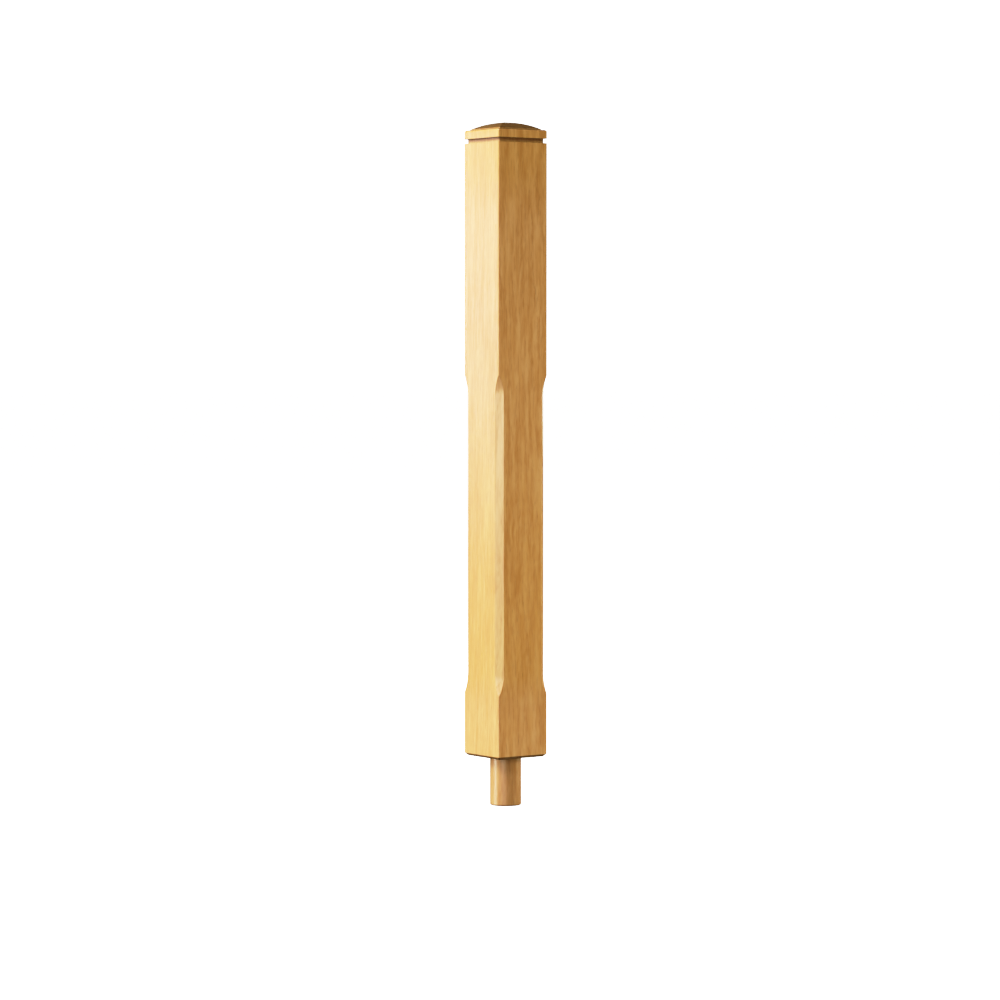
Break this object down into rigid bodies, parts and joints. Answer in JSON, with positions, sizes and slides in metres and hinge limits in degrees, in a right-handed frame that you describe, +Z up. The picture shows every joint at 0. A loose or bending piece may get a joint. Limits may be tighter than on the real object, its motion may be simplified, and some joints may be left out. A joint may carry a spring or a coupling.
{
  "type": "newel post",
  "caption": "Square timber newel post with stopped chamfers below a plain rail block, a grooved cap with a low hipped dome, and a round spigot under its foot.",
  "frame": {"origin": "centre of the spigot's flat end", "axes": "+Z up the post's axis, from the spigot to the top of the dome; X and Y square to the post's faces"},
  "size_m": [0.091, 0.091, 1.04],
  "materials": {
    "oak": "clear satin finish over straight-grained oak"
  },
  "bodies": {
    "root": {"newel_post": "oak"}
  },
  "joints": []
}
